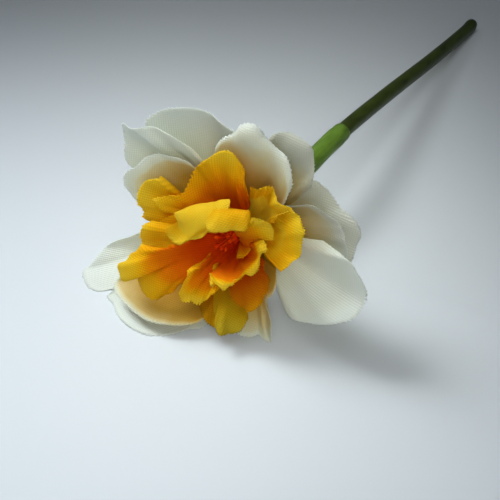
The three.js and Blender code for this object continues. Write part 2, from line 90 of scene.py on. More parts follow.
# %% [markdown]
# ## Colours and nodes
# Colours are written as sRGB hex values, as a paint chart gives them, and one function turns them
# into the linear values that a shader works with. A material could be put together by hand in the
# editor. In a script one small function that adds a node with its settings and links is enough.

# %% Colour and node helpers
def linear(hex_value):
    parts = [int(hex_value[i:i + 2], 16) / 255 for i in (1, 3, 5)]
    return tuple(c / 12.92 if c <= 0.04045 else ((c + 0.055) / 1.055) ** 2.4 for c in parts) + (1.0,)


def node(tree, kind, inputs=None, **settings):
    made = tree.nodes.new(kind)
    for key, value in settings.items():
        setattr(made, key, value)
    for key, value in (inputs or {}).items():
        if isinstance(value, bpy.types.NodeSocket):
            tree.links.new(value, made.inputs[key])
        else:
            made.inputs[key].default_value = value
    return made


def ramp(tree, factor, stops):
    made = node(tree, "ShaderNodeValToRGB", {"Fac": factor})
    elements = made.color_ramp.elements
    while len(elements) > 1:
        elements.remove(elements[-1])
    elements[0].position = stops[0][0]
    elements[0].color = linear(stops[0][1])
    for place, colour in stops[1:]:
        elements.new(place).color = linear(colour)
    return made.outputs["Color"]


def empty_material(name):
    material = bpy.data.materials.new(name)
    material.use_nodes = True
    material.node_tree.nodes.clear()
    return material


# %% [markdown]
# ## The dye
# The petals are dyed with a brush, from the middle outwards, so the colour runs from orange to
# yellow, or from ochre to white. A picture could hold that, but a colour ramp needs no file and is
# easy to tune. The ramp reads each petal's own attribute "place": its red says how far out on the
# dye's run a point lies, and also carries painted shade and painted yellow light from the frill near
# the middle and a painted highlight along the rim. Its alpha is a painted shade that darkens a whole
# petal.

# %% Dye
DRIFT_MM, DRIFT = 6.25, 0.2


def dye_and_painted_light_colour(tree, place, stops):
    split = node(tree, "ShaderNodeSeparateColor", {"Color": place.outputs["Color"]})
    # The dye's border is never even: a slow noise moves it in and out a little.
    drift = node(tree, "ShaderNodeTexNoise", {
        "Vector": node(tree, "ShaderNodeTexCoord").outputs["Object"],
        "Scale": 1.0 / (DRIFT_MM * MM), "Detail": 3.0})
    moved = node(tree, "ShaderNodeMath", {
        0: drift.outputs["Fac"], 1: DRIFT, 2: split.outputs["Red"]}, operation="MULTIPLY_ADD")
    centred = node(tree, "ShaderNodeMath", {0: moved.outputs[0], 1: DRIFT / 2}, operation="SUBTRACT")
    return ramp(tree, centred.outputs[0], stops)


# %% [markdown]
# ## The weave
# The cloth is plain-weave polyester: each thread goes over one and under the next, which shows as a
# fine grid of ridges. Real threads could be modelled, but there are thousands, so two sine waves
# draw them, one for each way. They follow the petal's UV map "flat_cloth", which is the flat cut in
# units of 100 mm, so the threads bend with the cloth.

# %% Weave
# Real threads lie about 0.45 mm apart, under two pixels of the picture, so they are drawn at 0.56.
THREAD_MM = 0.56
UV_UNIT_MM = 100.0
WARP, WEFT = 0.6, 0.4
THREAD_RELIEF_MM = 0.12
SLUB_MM, SLUB = 2.5, 1.2


def plain_weave(tree, flat):
    axes = node(tree, "ShaderNodeSeparateXYZ", {"Vector": flat.outputs["UV"]})
    ridges = []
    for axis in ("X", "Y"):
        phase = node(tree, "ShaderNodeMath", {
            0: axes.outputs[axis], 1: 2 * math.pi / THREAD_MM * UV_UNIT_MM}, operation="MULTIPLY")
        ridges.append(node(tree, "ShaderNodeMath", {0: phase.outputs[0]}, operation="SINE").outputs[0])
    # The warp is pulled tighter on the loom, so it stands out a little more than the weft.
    warp = node(tree, "ShaderNodeMath", {0: ridges[0], 1: WARP}, operation="MULTIPLY")
    return node(tree, "ShaderNodeMath", {0: ridges[1], 1: WEFT, 2: warp.outputs[0]},
                operation="MULTIPLY_ADD").outputs[0]


def thread_bump(tree, flat, weave, depth):
    # Threads are thicker in places, which a noise a few millimetres wide adds to the ridges.
    uneven = node(tree, "ShaderNodeTexNoise", {
        "Vector": flat.outputs["UV"], "Scale": UV_UNIT_MM / SLUB_MM, "Detail": 3.0})
    height = node(tree, "ShaderNodeMath", {
        0: uneven.outputs["Fac"], 1: SLUB, 2: weave}, operation="MULTIPLY_ADD")
    return node(tree, "ShaderNodeBump", {
        "Height": height.outputs[0], "Strength": depth, "Distance": THREAD_RELIEF_MM * MM})


# %% [markdown]
# ## Woven polyester
# The stiffened cloth shines a little along its threads and lets some light through, which makes
# petals glow when the light is behind them. A thin cloth could be made with subsurface light, but
# that is meant for thick things. A translucent shader mixed with the usual one is right for a sheet.

# %% Cloth material
def woven_cloth(name, dye, gap_shade, through, thread_depth, roughness, shine, sheen):
    material = empty_material(name)
    tree = material.node_tree
    place = node(tree, "ShaderNodeAttribute", attribute_name="place")
    flat = node(tree, "ShaderNodeUVMap", uv_map="flat_cloth")
    colour = dye_and_painted_light_colour(tree, place, dye)
    weave = plain_weave(tree, flat)
    bump = thread_bump(tree, flat, weave, thread_depth)

    # Between the threads the cloth is a little darker.
    gap = node(tree, "ShaderNodeMapRange", {
        "Value": weave, "From Min": -1.0, "From Max": 1.0, "To Min": gap_shade, "To Max": 1.0})
    # Each petal's painted shade, the alpha of "place", darkens the whole petal.
    weave_and_painted_shade = node(tree, "ShaderNodeMath", {
        0: gap.outputs[0], 1: place.outputs["Alpha"]}, operation="MULTIPLY")
    # A Mix node's colour sockets are numbers 6 and 7, and its colour result is number 2.
    threaded_and_shaded_colour = node(tree, "ShaderNodeMix", {0: 1.0, 6: colour, 7: weave_and_painted_shade.outputs[0]},
                    data_type="RGBA", blend_type="MULTIPLY").outputs[2]

    cloth = node(tree, "ShaderNodeBsdfPrincipled", {
        "Base Color": threaded_and_shaded_colour, "Roughness": roughness, "Normal": bump.outputs["Normal"],
        "IOR": 1.5, "Specular IOR Level": shine, "Sheen Weight": sheen, "Sheen Roughness": 0.4})
    glow = node(tree, "ShaderNodeBsdfTranslucent", {"Color": threaded_and_shaded_colour})
    both = node(tree, "ShaderNodeMixShader", {
        "Fac": through, 1: cloth.outputs["BSDF"], 2: glow.outputs["BSDF"]})
    node(tree, "ShaderNodeOutputMaterial", {"Surface": both.outputs["Shader"]})
    return material


# %% Cloth finishes
# Undyed white cloth keeps a faint shine, and the frill, brushed with dye, is matt.
# The ochre at the roots of the white petals is partly a real tint and partly painted yellow light from
# the frill.
white_cloth = woven_cloth(
    "white_woven_polyester",
    dye=[(0.0, "#bd8a12"), (0.2, "#cfa83c"), (0.4, "#e0d296"), (0.58, "#e8ecd8"), (1.0, "#ecf3ec")],
    gap_shade=0.92, through=0.35, thread_depth=0.55, roughness=0.55, shine=0.25, sheen=0.1)
yellow_cloth = woven_cloth(
    "yellow_dyed_woven_polyester",
    dye=[(0.0, "#dc2e00"), (0.2, "#ec4e00"), (0.4, "#f57800"), (0.58, "#fa9e00"), (0.75, "#fec006"),
         (0.9, "#fed21a"), (1.0, "#ffe034")],
    gap_shade=0.8, through=0.42, thread_depth=0.9, roughness=0.6, shine=0.06, sheen=0.0)
print("cloth finishes:", white_cloth.name, yellow_cloth.name)


# %% [markdown]
# ## The flower's own frame
# The real rings are threaded on a stud, one on another, and face half up as the flower lies. It is
# easiest to think of them upright, so a small frame of three directions turns points of the upright
# flower into their place, and back. An empty object could do that too, but each mesh has to lie at
# the origin in the end.

# %% Measures of the rings
RING_HEIGHT, RING_GAP = 1.2, 0.3
RING_RADII = (3.8, 3.8, 3.8, 3.2, 2.6)
ROOT_OVERLAP = 0.5
SHEET = 0.6
FACE_TILT_UP, FACE_TURN = math.radians(22), math.radians(3)
BASE = FOOT + np.array([0.0, -159.0, 18.0])
face_w = np.array([
    math.sin(FACE_TURN) * math.cos(FACE_TILT_UP),
    -math.cos(FACE_TURN) * math.cos(FACE_TILT_UP),
    math.sin(FACE_TILT_UP)])
face_u = np.cross([0, 0, 1], face_w)
face_u /= np.linalg.norm(face_u)
face_v = np.cross(face_w, face_u)
FACE = np.stack([face_u, face_v, face_w])
print("the flower's base is at", BASE.round(1), "mm and faces", face_w.round(2))


def to_frame(points):
    return BASE + points @ FACE


def to_face(points):
    return (points - BASE) @ FACE.T


def on_axis(*heights):
    return np.array([to_frame(np.array([0, 0, high])) for high in heights])


# %% [markdown]
# ## The shape of a petal
# Each real petal is a flat cut of cloth, bent by heat and stiffener while it dries. It could be
# bent with a cloth simulation, but the folds of this one flower are known, and a simulation finds
# others. What one sees of a petal is its rim, so the rim is drawn first: a smooth line through a few
# points, each given as the direction round the face, the angle from the flower's axis and the
# distance from the base. The solids underneath use the same points, so both agree.

# %% Petals and lobes
# turn: direction of the root; start, end: angle from the axis at which the cloth leaves the middle
# and reaches the rim, or for a lobe folded over, its whole direction there (turn, angle); spread:
# half the turn that the root takes up; hold: how long the cloth keeps those directions; rim: points
# (turn, angle, distance); ruffle and folds: height, count and phase of waves; belly: bulge.
# dye_and_shade: how much further than usual the dark colour of the middle runs out, as a share of
# the petal, partly real dye and partly painted shade and painted yellow light from the frill;
# lip: where the plain colour and painted highlight of the rim begin; painted_shade: painted shade
# that darkens the whole petal, 1 for none; crinkle: how much it kept of the small waves of the
# stiffening.
PLAIN = dict(spread=24, hold=(0.4, 0.4), ruffle=(0.3, 4, 0), belly=0, folds=(0.25, 3, 0.4),
             dye_and_shade=0, lip=0.7, painted_shade=1.0, crinkle=1.0)
BACK_PETALS = [
    dict(turn=210, start=84, end=62,
         rim=[(196, 84, 22), (201, 78, 32), (205, 76, 41), (210, 74, 46.5), (213, 73, 49.7),
              (217, 69.5, 49.3), (220, 67.5, 47.3), (222, 68, 43.7), (225, 74, 34), (226, 80, 24)]),
    dict(turn=246, start=84, end=35,
         rim=[(221, 72, 26), (221, 67, 36), (223, 65, 42.8), (228, 62.5, 42.5), (233, 59, 42.7),
              (240, 56, 41.7), (248, 54, 39.7), (257, 55, 36), (264, 58, 32), (270, 60, 28.3),
              (272, 67, 22)]),
    dict(turn=28, start=84, end=125, hold=(0.45, 0.15), ruffle=(0.5, 3, 1), dye_and_shade=0.12, lip=0.95,
         painted_shade=0.82,
         rim=[(357, 86, 20), (2, 85, 27), (6, 84, 30.5), (14, 84, 32), (19, 84, 33), (26, 84, 31.5),
              (32, 83, 29), (40, 81, 28.5), (46, 79, 28), (52, 77, 26.5), (55, 76, 20)]),
    dict(turn=64, start=84, end=110, hold=(0.45, 0.15), dye_and_shade=0.25, lip=0.95, painted_shade=0.75,
         rim=[(46, 74, 22), (50, 70, 29), (53, 70, 32.5), (57, 70, 35), (61, 70, 37),
              (67, 70, 36.5), (72, 70, 35.5), (77, 69, 33), (80, 68, 28), (82, 68, 22)]),
    dict(turn=118, start=84, end=55,
         rim=[(90, 70, 24), (94, 68, 29), (99, 66, 31.5), (104, 66, 33.5), (110, 66, 35.5),
              (117, 66, 37), (124, 66, 38), (132, 66, 38.5), (139, 66, 38), (145, 68, 32),
              (147, 72, 24)]),
    dict(turn=146, start=84, end=60,
         rim=[(122, 66, 18), (122, 61, 25), (123, 60, 29), (126, 60, 32), (131, 60, 35),
              (135, 61, 37.5), (139, 61, 39), (142, 62, 40.3), (144, 64, 42), (148, 66, 41),
              (152, 66, 39), (161, 66, 35.5), (166, 70, 28), (168, 74, 20)]),
]
FRONT_PETALS = [
    dict(turn=154, start=84, end=60, dye_and_shade=0.4, lip=0.9,
         rim=[(126, 64, 18), (128, 59, 24), (130, 58, 26.5), (137, 58, 29), (142, 58, 31.5),
              (148, 58, 33), (154, 58, 33.4), (158, 58, 34.5), (163, 58, 35), (168, 58, 34),
              (172, 60, 32), (176, 61, 30), (180, 64, 24), (181, 68, 18)]),
    dict(turn=244, start=84, end=35, dye_and_shade=0.6, lip=0.95,
         rim=[(215, 70, 24), (216, 64, 34), (219, 60, 39), (224, 56, 39), (232, 53, 38),
              (242, 51, 36.5), (253, 50, 34), (264, 50, 30.5), (271, 52, 27), (273, 60, 21)]),
    dict(turn=24, start=84, end=70, dye_and_shade=0.3, lip=0.9, painted_shade=0.8,
         rim=[(2, 80, 20), (6, 77, 27), (9, 76, 31), (15, 76, 31.5), (22, 76, 31), (28, 75, 29.5),
              (34, 75, 27), (40, 73, 25), (46, 72, 19)]),
    dict(turn=350, start=84, end=80, dye_and_shade=-0.2,
         rim=[(318, 79, 16), (318, 77, 19), (320, 74, 23.8), (323.5, 73, 27.6), (334, 72, 32.3),
              (342.5, 72, 36.2), (349, 74, 39), (355, 76, 39), (1, 75, 39), (8, 72, 36.5),
              (13, 70, 34), (18, 72, 26)]),
    dict(turn=308, start=76, end=64, dye_and_shade=0.4, lip=0.95,
         rim=[(290, 63, 22), (291, 61, 26), (293, 61, 28.6), (298, 64, 29.3), (302, 67, 28.7),
              (303, 69.5, 29.8), (303.5, 71.5, 31.6), (307, 71, 31.3), (311, 67.5, 28.4),
              (314, 65, 25), (314, 63, 22.7), (316, 62, 21), (326, 61, 20), (337, 61, 18),
              (343, 62, 15)]),
    dict(turn=78, start=84, end=125, hold=(0.45, 0.2), ruffle=(0.5, 3, 0), dye_and_shade=0.3, lip=0.88,
         rim=[(44, 70, 18), (48, 65, 22.3), (54, 64, 26), (59, 64, 29), (65, 64, 32.5),
              (73, 64, 33), (78, 64, 34), (84, 64, 35.5), (90, 64, 34), (96, 63, 31.4),
              (104, 62, 29), (110, 64, 24), (112, 68, 18)]),
]
OUTER_FRILL = [
    dict(turn=172, start=58, end=70, ruffle=(0.6, 3, 0), dye_and_shade=0.1,
         rim=[(162, 56, 18), (160, 54, 23), (156, 53, 25.5), (152, 53, 27.6), (154, 53, 29.6),
              (160, 53, 30.3), (166, 53, 30.5), (174, 53, 29.5), (179, 54, 27.7), (186, 55, 27.2),
              (192, 58, 20)]),
    dict(turn=262, start=58, end=60, dye_and_shade=0.2, lip=1, painted_shade=0.6,
         rim=[(242, 54, 20), (249, 51, 23), (257, 50, 24.5), (265, 50, 25), (273, 50, 27),
              (279, 50, 28.3), (284, 51, 28), (290, 54, 24), (292, 58, 18)]),
    dict(turn=290, start=58, end=70, ruffle=(0.3, 1.5, 0), folds=(0.1, 2, 0), crinkle=0.5,
         dye_and_shade=-0.1, painted_shade=0.6,
         rim=[(272, 58, 18), (275, 55, 21), (277, 54, 23), (281, 54, 25.6), (284, 54, 28),
              (288, 54, 30.3), (292, 54, 29.5), (298, 54, 28.7), (303, 54, 26.5), (305, 54, 24),
              (308, 58, 18)]),
    dict(turn=14, start=58, end=75, ruffle=(0.5, 3, 0), folds=(0.9, 2, 1.2), dye_and_shade=-0.25,
         rim=[(350, 54, 14), (356, 52, 18.5), (2, 52, 23.5), (9, 53, 25), (14, 54, 26.2),
              (24, 55, 27.4), (28, 57, 28.7), (30, 58, 28.3), (37, 60, 26.5), (43, 62, 24),
              (45, 62, 18)]),
    dict(turn=56, start=58, end=70, ruffle=(0.6, 3, 2), folds=(0.12, 3, 0.4), dye_and_shade=-0.6,
         rim=[(34, 58, 18), (40, 58, 21), (43, 58, 25), (48, 58, 25.2), (55, 58, 23.7),
              (60, 57, 23), (66, 55, 22.8), (73, 56, 19), (76, 60, 16)]),
    dict(turn=112, start=58, end=70, spread=32, dye_and_shade=0.02,
         rim=[(76, 58, 15), (81, 55, 19.4), (84, 55, 23.7), (88, 54, 28), (92, 54, 30),
              (98, 54, 29.5), (109, 54, 26.8), (124, 54, 24), (136, 53, 21.8), (147, 51, 21.4),
              (155, 50, 24), (159, 50, 26.5), (164, 50, 27.2), (168, 52, 22)]),
]
MIDDLE_FRILL = [
    dict(turn=182, start=38, end=75, ruffle=(0.5, 3, 0), dye_and_shade=-0.2,
         rim=[(162, 46, 14), (165, 47, 18.2), (170, 47, 20), (175, 47, 22), (181, 47, 24),
              (183, 47, 26.2), (187, 47, 27.7), (192, 48, 28.3), (199, 49, 28.6), (204, 50, 29),
              (208, 54, 22)]),
    dict(turn=220, start=38, end=110, hold=(0.5, 0.38), spread=32, ruffle=(0.5, 3.5, 1),
         folds=(0.25, 2, 0.4), dye_and_shade=0.12, lip=0.66,
         rim=[(196, 42, 18), (201, 43, 21), (203, 45.5, 26.8), (203, 46, 29.5), (205, 49, 32.1),
              (209, 50.5, 35.4), (214.5, 51.3, 36), (219, 51.5, 35.6), (219.5, 51, 32.4),
              (223.5, 50, 32.3), (229, 50, 32.1), (235, 50, 30.4), (239, 49.5, 27.7),
              (243, 48.5, 25.1), (245, 48, 21.9), (244.5, 47, 19)]),
    dict(turn=262, start=38, end=75, ruffle=(0.6, 3, 0), dye_and_shade=0.2, lip=0.8,
         rim=[(236, 48, 15), (243, 46, 20), (247, 45, 24.5), (250, 45, 26.7), (255, 45, 27),
              (258, 45, 24.4), (262, 45, 25), (267, 45, 25), (271, 45, 24), (276, 45, 22.8),
              (281, 47, 19), (286, 50, 15)]),
    dict(turn=322, start=38, end=75, dye_and_shade=0.3, lip=1, painted_shade=0.75,
         rim=[(290, 50, 16), (299, 49, 21.8), (308, 49, 24), (315, 49, 25), (324, 49, 24.2),
              (328, 49, 22.5), (336, 49, 21.4), (345, 49, 20.2), (352, 49, 18.7), (356, 48, 15)]),
    dict(turn=300, start=38, end=60, dye_and_shade=0.2, lip=0.85,
         rim=[(262, 50, 16), (270, 47, 19), (275, 45, 21), (278, 44, 19.6), (287, 43.5, 19),
              (298, 43, 18.6), (309, 43, 17.8), (322, 43, 16.5), (335, 44, 14)]),
]
INNER_FRILL = [
    dict(turn=36, start=10, end=110, spread=40, hold=(0.8, 0.3), dye_and_shade=0.1, painted_shade=0.9,
         rim=[(350, 30, 13), (2, 36, 15), (14, 41, 16.5), (23, 45, 18), (26, 48, 19.5),
              (33, 49, 20.5), (42, 46, 21), (50, 41, 20.5), (56, 36, 19.5), (66, 32, 18),
              (80, 29, 16), (92, 26, 13)]),
    dict(turn=325, start=40, end=150, hold=(0.6, 0.22), spread=40, ruffle=(0.4, 3, 1), dye_and_shade=0.3,
         lip=0.7,
         rim=[(268, 29, 19.2), (280, 29, 20.1), (290, 29.5, 20.3), (310, 30, 21.3),
              (322.5, 31, 21.2), (334, 33, 19.5), (344, 34.5, 20.3), (358, 36.5, 21.1),
              (9, 38.5, 20.6), (18.5, 39.6, 20.1), (22.5, 38, 16.9)]),
    dict(turn=134, start=50, end=(215, 75), hold=(1.55, 0.7), spread=36, belly=1.6,
         ruffle=(0.2, 2, 0.5), folds=(0, 2, 0), dye_and_shade=-0.5, crinkle=0.4,
         rim=[(100, 22, 20), (118, 13, 20), (150, 12, 19), (183, 18, 19), (195, 26, 19.6),
              (198.8, 33, 21), (195, 39, 22.1), (188, 43.5, 23), (181, 44, 23)]),
    dict(turn=80, start=50, end=(250, 90), hold=(1.2, 0.45), spread=8, ruffle=(0.5, 1.5, 0.8),
         folds=(0, 2, 0), dye_and_shade=-0.1, crinkle=0.15,
         rim=[(52, 32, 18.5), (46, 29, 19.8), (48, 26, 20.5), (60, 18, 21), (90, 13, 21),
              (112, 15, 20.5), (122, 19, 20)]),
    dict(turn=350, start=10, end=25, spread=60, dye_and_shade=0.2, lip=1, crinkle=0.2,
         rim=[(280, 38, 10), (300, 37, 12), (322, 35, 14), (340, 28, 15.5), (350, 21, 17.5),
              (357, 26, 17.5), (8, 31, 16), (25, 35, 15), (45, 36, 13), (65, 36, 10)]),
]
print("petals and lobes:", [len(part) for part in (
    BACK_PETALS, FRONT_PETALS, OUTER_FRILL, MIDDLE_FRILL, INNER_FRILL)])


# %% [markdown]
# ## Bending the cloth
# Threads of cloth run from the middle of the flower to the rim. Each could be a chain of points moved
# by hand, but a simple curve with four handles does it: it leaves the middle in one direction, comes
# to the rim in another, and bends evenly between. Small waves are then added across the cloth.

# %% Lines and curves
CURVE_STEPS = 400


def polar(turn, angle, reach):
    turn, angle, reach = np.broadcast_arrays(np.radians(turn), np.radians(angle), reach)
    return np.stack([
        reach * np.sin(angle) * np.cos(turn),
        reach * np.sin(angle) * np.sin(turn),
        reach * np.cos(angle)], axis=-1)


def smooth_line(knots, s):
    """Points at the shares s of the length of a smooth line through the knots."""
    ends = np.vstack([2 * knots[0] - knots[1], knots, 2 * knots[-1] - knots[-2]])
    fine = np.linspace(0, len(knots) - 1, CURVE_STEPS)
    k = np.minimum(fine.astype(int), len(knots) - 2)
    t = (fine - k)[:, None]
    p, q, r, w = ends[k], ends[k + 1], ends[k + 2], ends[k + 3]
    line = 0.5 * (2 * q + (r - p) * t + (2 * p - 5 * q + 4 * r - w) * t ** 2
                  + (3 * q - p - 3 * r + w) * t ** 3)
    run = np.concatenate([[0], np.cumsum(np.linalg.norm(np.diff(line, axis=0), axis=1))])
    return np.stack([np.interp(s * run[-1], run, line[:, i]) for i in range(3)], axis=-1)


def across(points):
    """The direction that stands square on the cloth at each of its points."""
    normal = np.cross(np.gradient(points, axis=1), np.gradient(points, axis=0))
    return normal / np.maximum(np.linalg.norm(normal, axis=2), 1e-9)[..., None]


def wave(settings, s):
    high, count, phase = settings
    return high * np.sin(2 * np.pi * count * s + phase)


# %% One bent petal
SQUARE_TO_AXIS = 90.0
# Folds and dents are highest inside the petal and would end this far out, as a share of its length.
FOLDS_END = 1.3


def bent(shape, root, s, t):
    """The middle of the cloth in the flower's frame: s runs round the rim, t from root to rim."""
    around = shape["turn"] + shape["spread"] * (2 * s - 1)
    hub = polar(around, SQUARE_TO_AXIS, root[0]) + np.array([0, 0, root[1]])
    rim = smooth_line(polar(*np.array(shape["rim"], float).T), s.ravel()).reshape(hub.shape)
    span = np.linalg.norm(rim - hub, axis=2)[..., None]
    first = hub + shape["hold"][0] * span * polar(around, shape["start"], 1)
    if isinstance(shape["end"], tuple):
        leaving = polar(*shape["end"], 1)
    else:
        leaving = polar(np.degrees(np.arctan2(rim[..., 1], rim[..., 0])), shape["end"], 1)
    last = rim - shape["hold"][1] * span * leaving
    k = t[..., None]
    points = ((1 - k) ** 3 * hub + 3 * k * (1 - k) ** 2 * first + 3 * k * k * (1 - k) * last
              + k ** 3 * rim)
    lift = wave(shape["ruffle"], s) * t ** 3 + wave(shape["folds"], s) * 2 * t * (FOLDS_END - t)
    # 16 t (1 - t) s (1 - s) is 1 in the middle of the cloth and 0 along its edges.
    lift += shape["belly"] * 16 * t * (1 - t) * s * (1 - s)
    return points + lift[..., None] * across(points)


# %% [markdown]
# ## Laying the petals on one another
# Real layers of cloth can't pass through each other. A collision simulation could keep them apart,
# but its result is hard to steer. Here a pile remembers, for every direction round the axis and every
# distance from the base, how wide an angle from the axis is still free. The next petal is turned
# towards the axis wherever it would need more than that, and the turn is evened out over its
# neighbourhood, so that no crease is left.

# %% The pile
TURNS, REACH = 180, 64
# How fast the pile's surface may fall away beside a petal, and how far that is carried.
RISE_ANGLE, PASSES, LEAST_SIDE = 0.8, 30, 0.2
AROUND = [(1, 0), (-1, 0), (0, 1), (0, -1), (1, 1), (1, -1), (-1, 1), (-1, -1)]


def measured(points):
    p = to_face(points)
    flat = np.hypot(p[..., 0], p[..., 1])
    return np.arctan2(p[..., 1], p[..., 0]), np.hypot(flat, p[..., 2]), np.arctan2(flat, p[..., 2])


class Pile:
    def __init__(self):
        self.free = np.full((TURNS, REACH), np.pi)

    def lay(self, points):
        turn, reach, angle = measured(points)
        i = np.round(turn / (2 * np.pi) * TURNS).astype(int) % TURNS
        j = np.minimum(REACH - 1, np.round(reach).astype(int))
        np.minimum.at(self.free, (i, j), angle)
        reach = np.maximum(np.arange(REACH), 1)[None, :]
        for _ in range(PASSES):
            for di, dj in AROUND:
                level = np.roll(self.free, (-di, -dj), axis=(0, 1))
                if dj == 1:
                    level[:, -1] = np.pi
                if dj == -1:
                    level[:, 0] = np.pi
                side = di * 2 * np.pi * reach * np.maximum(np.sin(level), LEAST_SIDE) / TURNS
                rise = RISE_ANGLE * np.hypot(side, dj) / reach
                higher = np.where(level >= np.pi, np.pi, level + rise)
                self.free = np.minimum(self.free, higher)

    def limit(self, turn, reach):
        s = (turn / (2 * np.pi) * TURNS) % TURNS
        r = np.minimum(REACH - 1.001, reach)
        i, j = np.floor(s).astype(int), np.floor(r).astype(int)
        f, g = s - i, r - j
        near = self.free[i % TURNS, j] * (1 - g) + self.free[i % TURNS, j + 1] * g
        far = self.free[(i + 1) % TURNS, j] * (1 - g) + self.free[(i + 1) % TURNS, j + 1] * g
        return near * (1 - f) + far * f


# %% Laying a petal on the pile
# Millimetres between the middles of two sheets: out on the petals, and at the roots, which end at
# the first of the two distances in ROOT_ZONE. Beyond the second one the petals are fully apart.
LAYER, ROOT_LAYER, NEIGHBOUR = 1.3, 0.9, 1.1
ROOT_ZONE = (8, 16)
# Petals of one ring share their root, so there they may lie this far, in radians, into each other.
SHARED_ROOT = 1.2
PRESS, SOFT_BEND = 1.0, 0.6
SMOOTH = 14


def softened(excess, width):
    """Zero below zero and the excess above it, with a soft bend of the given width between."""
    inside = (excess + width) ** 2 / (4 * width)
    return np.where(excess < -width, 0, np.where(excess > width, excess, inside))


def evened(push):
    """The highest push in the neighbourhood, averaged over it."""
    for combine in (np.max, np.mean):
        for axis in (0, 1):
            cells = max(1, round((push.shape[axis] - 1) / SMOOTH))
            margin = [(cells, cells) if k == axis else (0, 0) for k in (0, 1)]
            wide = np.pad(push, margin, mode="edge")
            shifted = [np.take(wide, range(i, i + push.shape[axis]), axis)
                       for i in range(2 * cells + 1)]
            push = combine(shifted, axis=0)
    return push


def laid(shape, root, below, beside, s, t):
    points = to_frame(bent(shape, root, s, t))
    # A petal that reaches the table is pressed flat on it.
    points[..., 2] = SHEET / 2 + softened(points[..., 2] - SHEET / 2, PRESS)
    turn, reach, angle = measured(points)
    together = np.clip((ROOT_ZONE[1] - reach) / (ROOT_ZONE[1] - ROOT_ZONE[0]), 0, 1)
    free = below.limit(turn, reach) - (LAYER + (ROOT_LAYER - LAYER) * together) / reach
    if beside is not None:
        own = beside.limit(turn, reach) - (NEIGHBOUR - together * SHARED_ROOT * reach) / reach
        free = np.minimum(free, own)
    angle = angle - evened(softened(angle - free, SOFT_BEND / reach))
    return to_frame(polar(np.degrees(turn), np.degrees(angle), reach))


# %% [markdown]
# ## The flat cut
# Before it was bent, each petal was a flat piece of cloth, and its threads were straight. An unwrap
# in the editor would guess that flat piece. The bent threads give it back more exactly: each keeps
# its length when it is laid out straight, and its neighbour lies beside it at its mean distance.
# That flat cut is the UV map of the weave, and its area is summed up too.

# %% Laying the threads out flat
PLACES_ON_THREAD = 25


def laid_flat(points, root_radius):
    step = np.linalg.norm(np.diff(points, axis=0), axis=2)
    length = np.vstack([np.zeros(points.shape[1]), np.cumsum(step, axis=0)])
    direction = [0.0]
    for k in range(points.shape[1] - 1):
        shared = np.linspace(0, min(length[-1, k], length[-1, k + 1]), PLACES_ON_THREAD)
        one, other = (
            np.stack([np.interp(shared, length[:, i], points[:, i, axis]) for axis in range(3)])
            for i in (k, k + 1))
        apart = np.linalg.norm(one - other, axis=0)
        direction.append(direction[-1] + apart.sum() / (root_radius + shared).sum())
    direction = np.array(direction) - direction[-1] / 2
    reach = root_radius + length
    return np.stack([reach * np.sin(direction), reach * np.cos(direction)], axis=-1), reach


# %% [markdown]
# ## Small waves and frayed rims
# Stiffened cloth keeps small waves, and the scissors leave loose threads along its edge. A bump in
# the material would show neither in the outline, so both are in the mesh: sums of sine waves, whose
# phase wanders, so that no two waves are equally wide.

# %% Waves and fraying
# The height of the small waves in millimetres: white petals are stiffer than the thin frill.
CRINKLE = {"white_fabric": 0.25, "yellow_fabric": 0.8}
LONG_WAVES = 2.7
RIM_WAVES, RIM_WAVE_SHARE = 8.0, 0.35
DENTS, DENT_SHARE = 1.6, 0.45
# The rim's last thread ends up to this many millimetres further out or in, at uneven steps.
FRAY = 0.3
FRAY_STEPS = (731, 293, 1130)


def crinkled(points, s, t, seed, high):
    """The small waves kept from the stiffening: long ruffles, fine ones and soft dents."""
    p, q, r, w = (2 * np.pi * ((seed * step) % 1.0) for step in (0.37, 0.61, 0.83, 0.29))
    long_sway = 1.5 * np.sin(2 * np.pi * (0.9 * s + 0.5 * t) + q)
    long_wave = np.sin(2 * np.pi * LONG_WAVES * s + p + long_sway) * t ** 2
    rim_sway = 2.0 * np.sin(2 * np.pi * 1.7 * s + w)
    rim_wave = RIM_WAVE_SHARE * np.sin(2 * np.pi * RIM_WAVES * s + r + rim_sway) * t ** 5
    dent_sway = 2.2 * np.sin(2 * np.pi * 1.8 * s + r)
    dents = DENT_SHARE * np.sin(2 * np.pi * DENTS * t + q + dent_sway) * t * (FOLDS_END - t)
    return points + (high * (long_wave + rim_wave + dents))[..., None] * across(points)


def frayed(points, s):
    outward = points[-1] - points[-2]
    outward /= np.linalg.norm(outward, axis=1)[:, None]
    one, other, fine = FRAY_STEPS
    loose = np.sin(s * one) * np.sin(s * other + 1) + 0.6 * np.sin(s * fine + 2)
    points[-1] += (FRAY * loose)[:, None] * outward
    return points


# %% [markdown]
# ## A petal as a sheet
# Each petal starts as a flat grid made with the bmesh grid operator, and its vertices are moved to
# where the bent and laid cloth is. A grid keeps rows and columns, so the flat cut and the dye are
# easy to write on it. The Solidify modifier then gives it the thickness of cloth.

# %% The grid of one petal
ACROSS, ALONG = 112, 40
THICKNESS = 0.16
# The plain colour and painted highlight of the rim fade in over this share of the petal.
LIP_FADE = 0.12
# Painted highlight along the rim: its colour is taken from this share of a petal further out.
RIM_PAINTED_HIGHLIGHT = 0.06


def grid_cell(vert, wide, long):
    """The row and column of a vertex of a fresh grid of size 0.5."""
    return round((vert.co.y + 0.5) * long), round((vert.co.x + 0.5) * wide)


